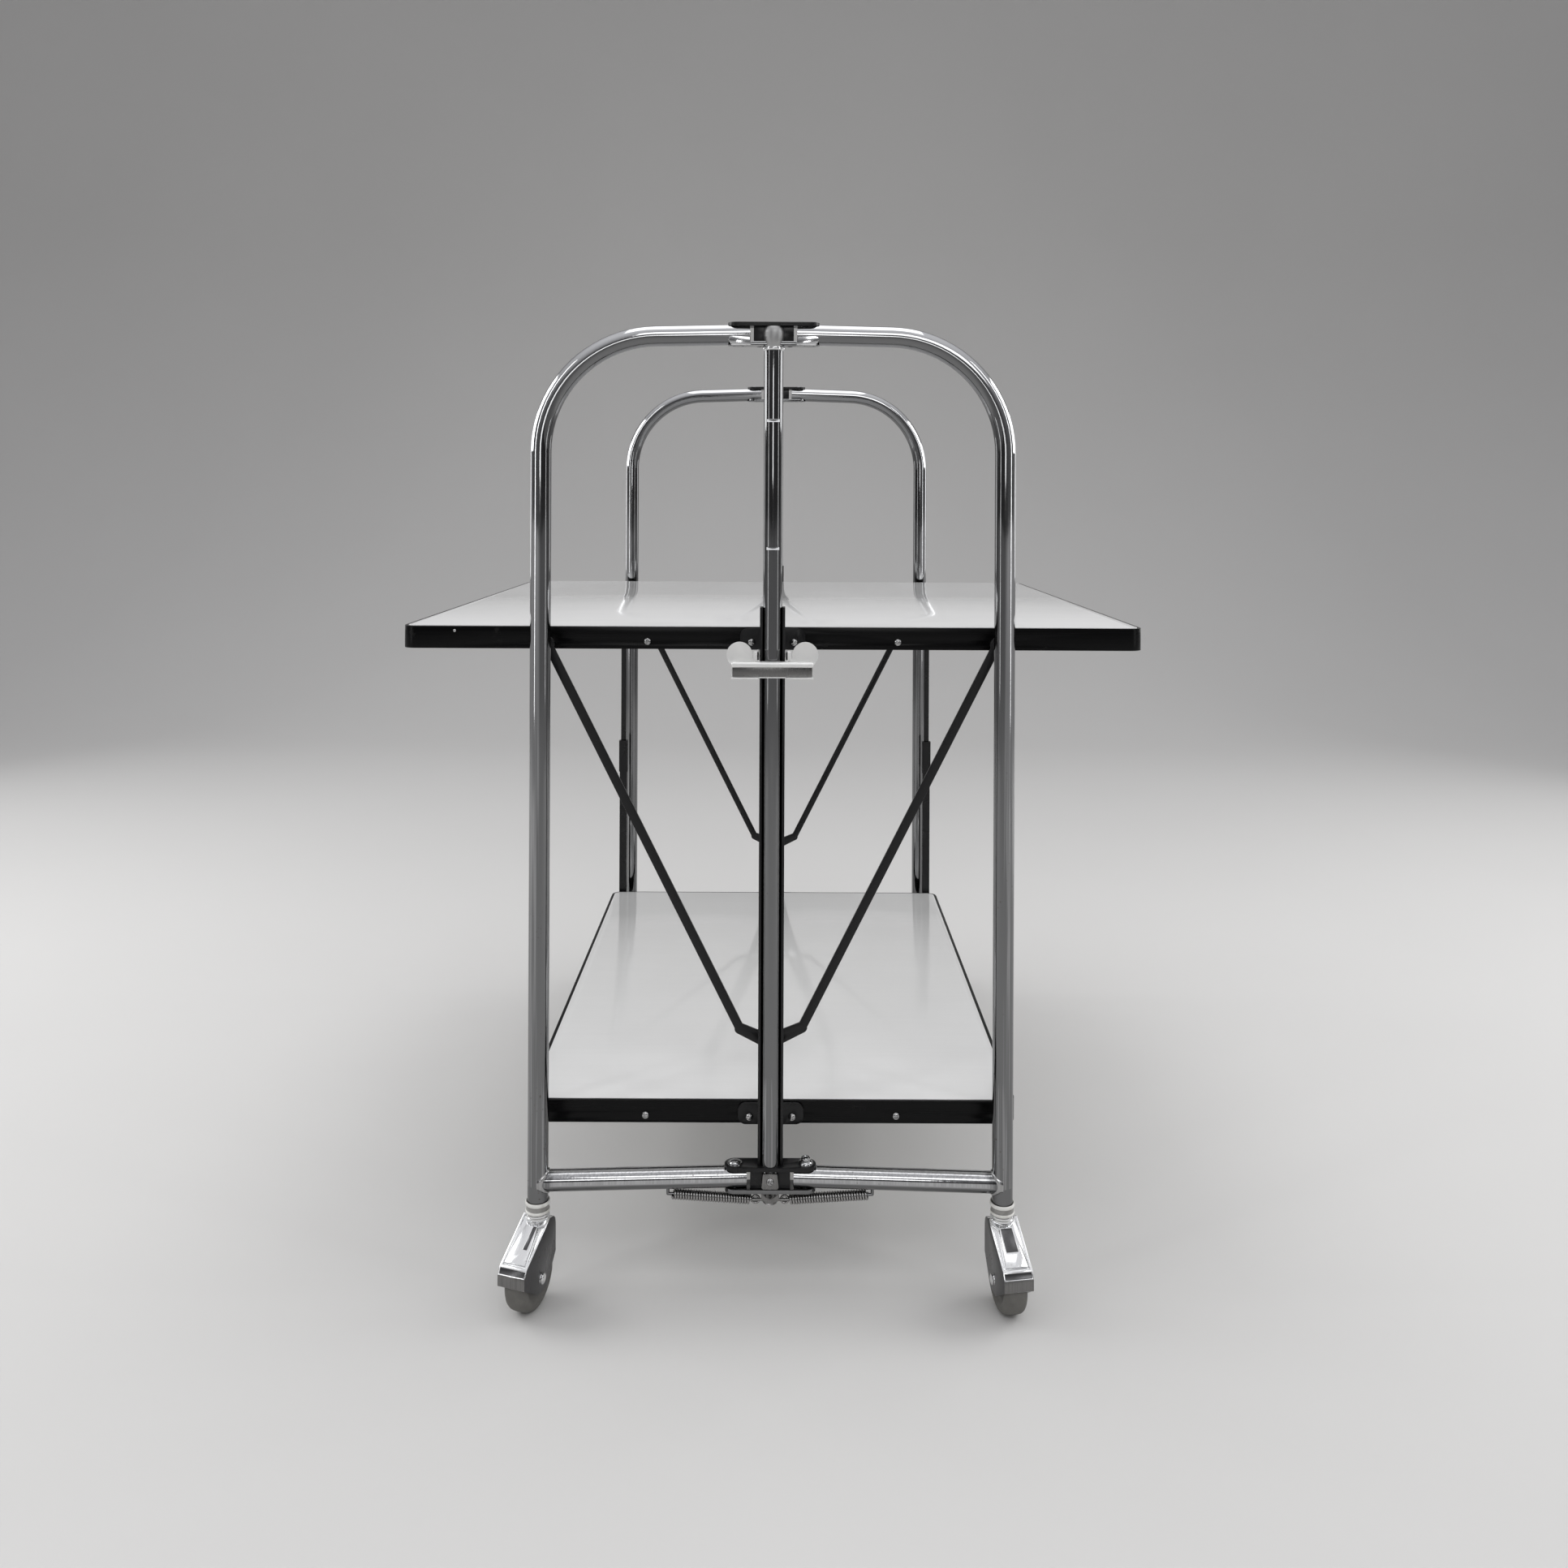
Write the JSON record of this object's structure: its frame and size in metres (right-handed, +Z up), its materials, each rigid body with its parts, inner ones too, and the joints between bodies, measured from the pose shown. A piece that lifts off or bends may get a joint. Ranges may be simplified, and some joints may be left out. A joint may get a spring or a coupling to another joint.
{
  "type": "drop leaf tea trolley",
  "caption": "Folding serving trolley: chromed arched tube end frames on castors, split white trays whose leaves fold on struts and stays as the carriage lifts on the posts.",
  "frame": {"origin": "on the floor under the middle of the trolley", "axes": "+Z up, +X across the trolley to the right, -Y towards the front end that the picture shows"},
  "size_m": [0.593, 0.6982, 0.7536],
  "materials": {
    "chrome": "bright chrome plate with fine scratches",
    "black_enamel": "gloss black stove enamel",
    "laminate": "white gloss laminate on board",
    "edging": "black edging",
    "steel": "zinc plated steel",
    "collar": "off-white moulded plastic",
    "wheel": "grey rubber"
  },
  "bodies": {
    "stand": {"front_post": "chrome", "rear_post": "chrome", "front_channel": "black_enamel", "rear_channel": "black_enamel", "base_rail": "black_enamel", "hinge_cap_plates": "black_enamel", "hinge_base_plates": "chrome", "hinge_blocks": "black_enamel", "frame_pivot_pins": "steel", "post_tabs_and_screws": "steel", "spring_clips": "steel", "strut_bolts": "steel"},
    "carriage": {"front_slider": "black_enamel", "rear_slider": "black_enamel", "tray_rail": "black_enamel", "latch_pins": "steel"},
    "front_latch_handle": {"front_latch": "chrome"},
    "rear_latch_handle": {"rear_latch": "chrome"},
    "upper_right_leaf": {"upper_right_board": "laminate", "upper_right_edging": "edging", "upper_right_fasteners": "steel"},
    "lower_right_leaf": {"lower_right_board": "laminate", "lower_right_edging": "edging", "lower_right_fasteners": "steel"},
    "right_stay_bar_pair": {"right_stay_bars": "black_enamel"},
    "right_stay_sleeve_pair": {"right_stay_sleeves": "black_enamel"},
    "right_strut_pair": {"right_struts": "black_enamel"},
    "upper_left_leaf": {"upper_left_board": "laminate", "upper_left_edging": "edging", "upper_left_fasteners": "steel"},
    "lower_left_leaf": {"lower_left_board": "laminate", "lower_left_edging": "edging", "lower_left_fasteners": "steel"},
    "left_stay_bar_pair": {"left_stay_bars": "black_enamel"},
    "left_stay_sleeve_pair": {"left_stay_sleeves": "black_enamel"},
    "left_strut_pair": {"left_struts": "black_enamel"},
    "front_left_half_frame": {"front_left_frame": "chrome", "front_left_spring": "steel", "front_left_collar": "collar"},
    "front_left_castor": {"front_left_hood": "chrome", "front_left_axle": "steel"},
    "front_left_castor_wheel": {"front_left_wheel": "wheel"},
    "front_right_half_frame": {"front_right_frame": "chrome", "front_right_spring": "steel", "front_right_collar": "collar"},
    "front_right_castor": {"front_right_hood": "chrome", "front_right_axle": "steel"},
    "front_right_castor_wheel": {"front_right_wheel": "wheel"},
    "rear_left_half_frame": {"rear_left_frame": "chrome", "rear_left_spring": "steel", "rear_left_collar": "collar"},
    "rear_left_castor": {"rear_left_hood": "chrome", "rear_left_axle": "steel"},
    "rear_left_castor_wheel": {"rear_left_wheel": "wheel"},
    "rear_right_half_frame": {"rear_right_frame": "chrome", "rear_right_spring": "steel", "rear_right_collar": "collar"},
    "rear_right_castor": {"rear_right_hood": "chrome", "rear_right_axle": "steel"},
    "rear_right_castor_wheel": {"rear_right_wheel": "wheel"}
  },
  "joints": [
    {"name": "tray_lift", "type": "slide", "parent": "stand", "child": "carriage", "axis": [0, 0, 1], "range_m": [0, 0.19749]},
    {"name": "upper_right_drop", "type": "hinge", "parent": "carriage", "child": "upper_right_leaf", "pos_m": [0.017, 0, 0.502], "axis": [0, 1, 0], "range_deg": [0, 76]},
    {"name": "lower_right_fold", "type": "hinge", "parent": "stand", "child": "lower_right_leaf", "pos_m": [0.017, 0, 0.124], "axis": [0, 1, 0], "range_deg": [-76, 0]},
    {"name": "right_stay_bar_turn", "type": "hinge", "parent": "upper_right_leaf", "child": "right_stay_bar_pair", "pos_m": [0.185, 0, 0.502], "axis": [0, 1, 0], "range_deg": [-76, 0]},
    {"name": "right_stay_sleeve_turn", "type": "hinge", "parent": "lower_right_leaf", "child": "right_stay_sleeve_pair", "pos_m": [0.185, 0, 0.124], "axis": [0, 1, 0], "range_deg": [0, 76]},
    {"name": "right_strut_turn", "type": "hinge", "parent": "stand", "child": "right_strut_pair", "pos_m": [0, 0, 0.189], "axis": [0, 1, 0], "range_deg": [-20.58, 0]},
    {"name": "upper_left_drop", "type": "hinge", "parent": "carriage", "child": "upper_left_leaf", "pos_m": [-0.017, 0, 0.502], "axis": [0, 1, 0], "range_deg": [-76, 0]},
    {"name": "lower_left_fold", "type": "hinge", "parent": "stand", "child": "lower_left_leaf", "pos_m": [-0.017, 0, 0.124], "axis": [0, 1, 0], "range_deg": [0, 76]},
    {"name": "left_stay_bar_turn", "type": "hinge", "parent": "upper_left_leaf", "child": "left_stay_bar_pair", "pos_m": [-0.185, 0, 0.502], "axis": [0, 1, 0], "range_deg": [0, 76]},
    {"name": "left_stay_sleeve_turn", "type": "hinge", "parent": "lower_left_leaf", "child": "left_stay_sleeve_pair", "pos_m": [-0.185, 0, 0.124], "axis": [0, 1, 0], "range_deg": [-76, 0]},
    {"name": "left_strut_turn", "type": "hinge", "parent": "stand", "child": "left_strut_pair", "pos_m": [0, 0, 0.189], "axis": [0, 1, 0], "range_deg": [0, 20.58]},
    {"name": "front_latch_squeeze", "type": "hinge", "parent": "carriage", "child": "front_latch_handle", "pos_m": [0, -0.301, 0.495], "axis": [1, 0, 0], "range_deg": [-8, 0], "stiffness_Nm_per_rad": 0.6, "springref_deg": 8.59},
    {"name": "rear_latch_squeeze", "type": "hinge", "parent": "carriage", "child": "rear_latch_handle", "pos_m": [0, 0.301, 0.495], "axis": [1, 0, 0], "range_deg": [0, 8], "stiffness_Nm_per_rad": 0.6, "springref_deg": -8.59},
    {"name": "front_left_frame_swing", "type": "hinge", "parent": "stand", "child": "front_left_half_frame", "pos_m": [-0.0275, -0.3, 0], "axis": [0, 0, 1], "range_deg": [-2.8, 0], "stiffness_Nm_per_rad": 6, "springref_deg": 17.19},
    {"name": "front_left_castor_swivel", "type": "hinge", "parent": "front_left_half_frame", "child": "front_left_castor", "pos_m": [-0.17909, -0.30795, 0.074], "axis": [0, 0, 1], "continuous": true},
    {"name": "front_left_wheel_roll", "type": "hinge", "parent": "front_left_castor", "child": "front_left_castor_wheel", "pos_m": [-0.18332, -0.32024, 0.024], "axis": [0.9455, -0.3256, 0], "continuous": true},
    {"name": "front_right_frame_swing", "type": "hinge", "parent": "stand", "child": "front_right_half_frame", "pos_m": [0.0275, -0.3, 0], "axis": [0, 0, 1], "range_deg": [0, 2.8], "stiffness_Nm_per_rad": 6, "springref_deg": -17.19},
    {"name": "front_right_castor_swivel", "type": "hinge", "parent": "front_right_half_frame", "child": "front_right_castor", "pos_m": [0.17909, -0.30795, 0.074], "axis": [0, 0, 1], "continuous": true},
    {"name": "front_right_wheel_roll", "type": "hinge", "parent": "front_right_castor", "child": "front_right_castor_wheel", "pos_m": [0.18113, -0.32078, 0.024], "axis": [0.9877, 0.1564, 0], "continuous": true},
    {"name": "rear_left_frame_swing", "type": "hinge", "parent": "stand", "child": "rear_left_half_frame", "pos_m": [-0.0275, 0.3, 0], "axis": [0, 0, 1], "range_deg": [0, 2.8], "stiffness_Nm_per_rad": 6, "springref_deg": -17.19},
    {"name": "rear_left_castor_swivel", "type": "hinge", "parent": "rear_left_half_frame", "child": "rear_left_castor", "pos_m": [-0.17909, 0.30795, 0.074], "axis": [0, 0, 1], "continuous": true},
    {"name": "rear_left_wheel_roll", "type": "hinge", "parent": "rear_left_castor", "child": "rear_left_castor_wheel", "pos_m": [-0.18113, 0.32078, 0.024], "axis": [-0.9877, -0.1564, 0], "continuous": true},
    {"name": "rear_right_frame_swing", "type": "hinge", "parent": "stand", "child": "rear_right_half_frame", "pos_m": [0.0275, 0.3, 0], "axis": [0, 0, 1], "range_deg": [-2.8, 0], "stiffness_Nm_per_rad": 6, "springref_deg": 17.19},
    {"name": "rear_right_castor_swivel", "type": "hinge", "parent": "rear_right_half_frame", "child": "rear_right_castor", "pos_m": [0.17909, 0.30795, 0.074], "axis": [0, 0, 1], "continuous": true},
    {"name": "rear_right_wheel_roll", "type": "hinge", "parent": "rear_right_castor", "child": "rear_right_castor_wheel", "pos_m": [0.18332, 0.32024, 0.024], "axis": [-0.9455, 0.3256, 0], "continuous": true}
  ],
  "couplings": [
    {"joint": "upper_right_drop", "follows": "tray_lift", "rad_per_m": 6.7167},
    {"joint": "lower_right_fold", "follows": "tray_lift", "rad_per_m": -6.7167},
    {"joint": "right_stay_bar_turn", "follows": "tray_lift", "rad_per_m": -6.7167},
    {"joint": "right_stay_sleeve_turn", "follows": "tray_lift", "rad_per_m": 6.7167},
    {"joint": "right_strut_turn", "follows": "tray_lift", "rad_per_m": -1.8184},
    {"joint": "upper_left_drop", "follows": "tray_lift", "rad_per_m": -6.7167},
    {"joint": "lower_left_fold", "follows": "tray_lift", "rad_per_m": 6.7167},
    {"joint": "left_stay_bar_turn", "follows": "tray_lift", "rad_per_m": 6.7167},
    {"joint": "left_stay_sleeve_turn", "follows": "tray_lift", "rad_per_m": -6.7167},
    {"joint": "left_strut_turn", "follows": "tray_lift", "rad_per_m": 1.8184}
  ]
}
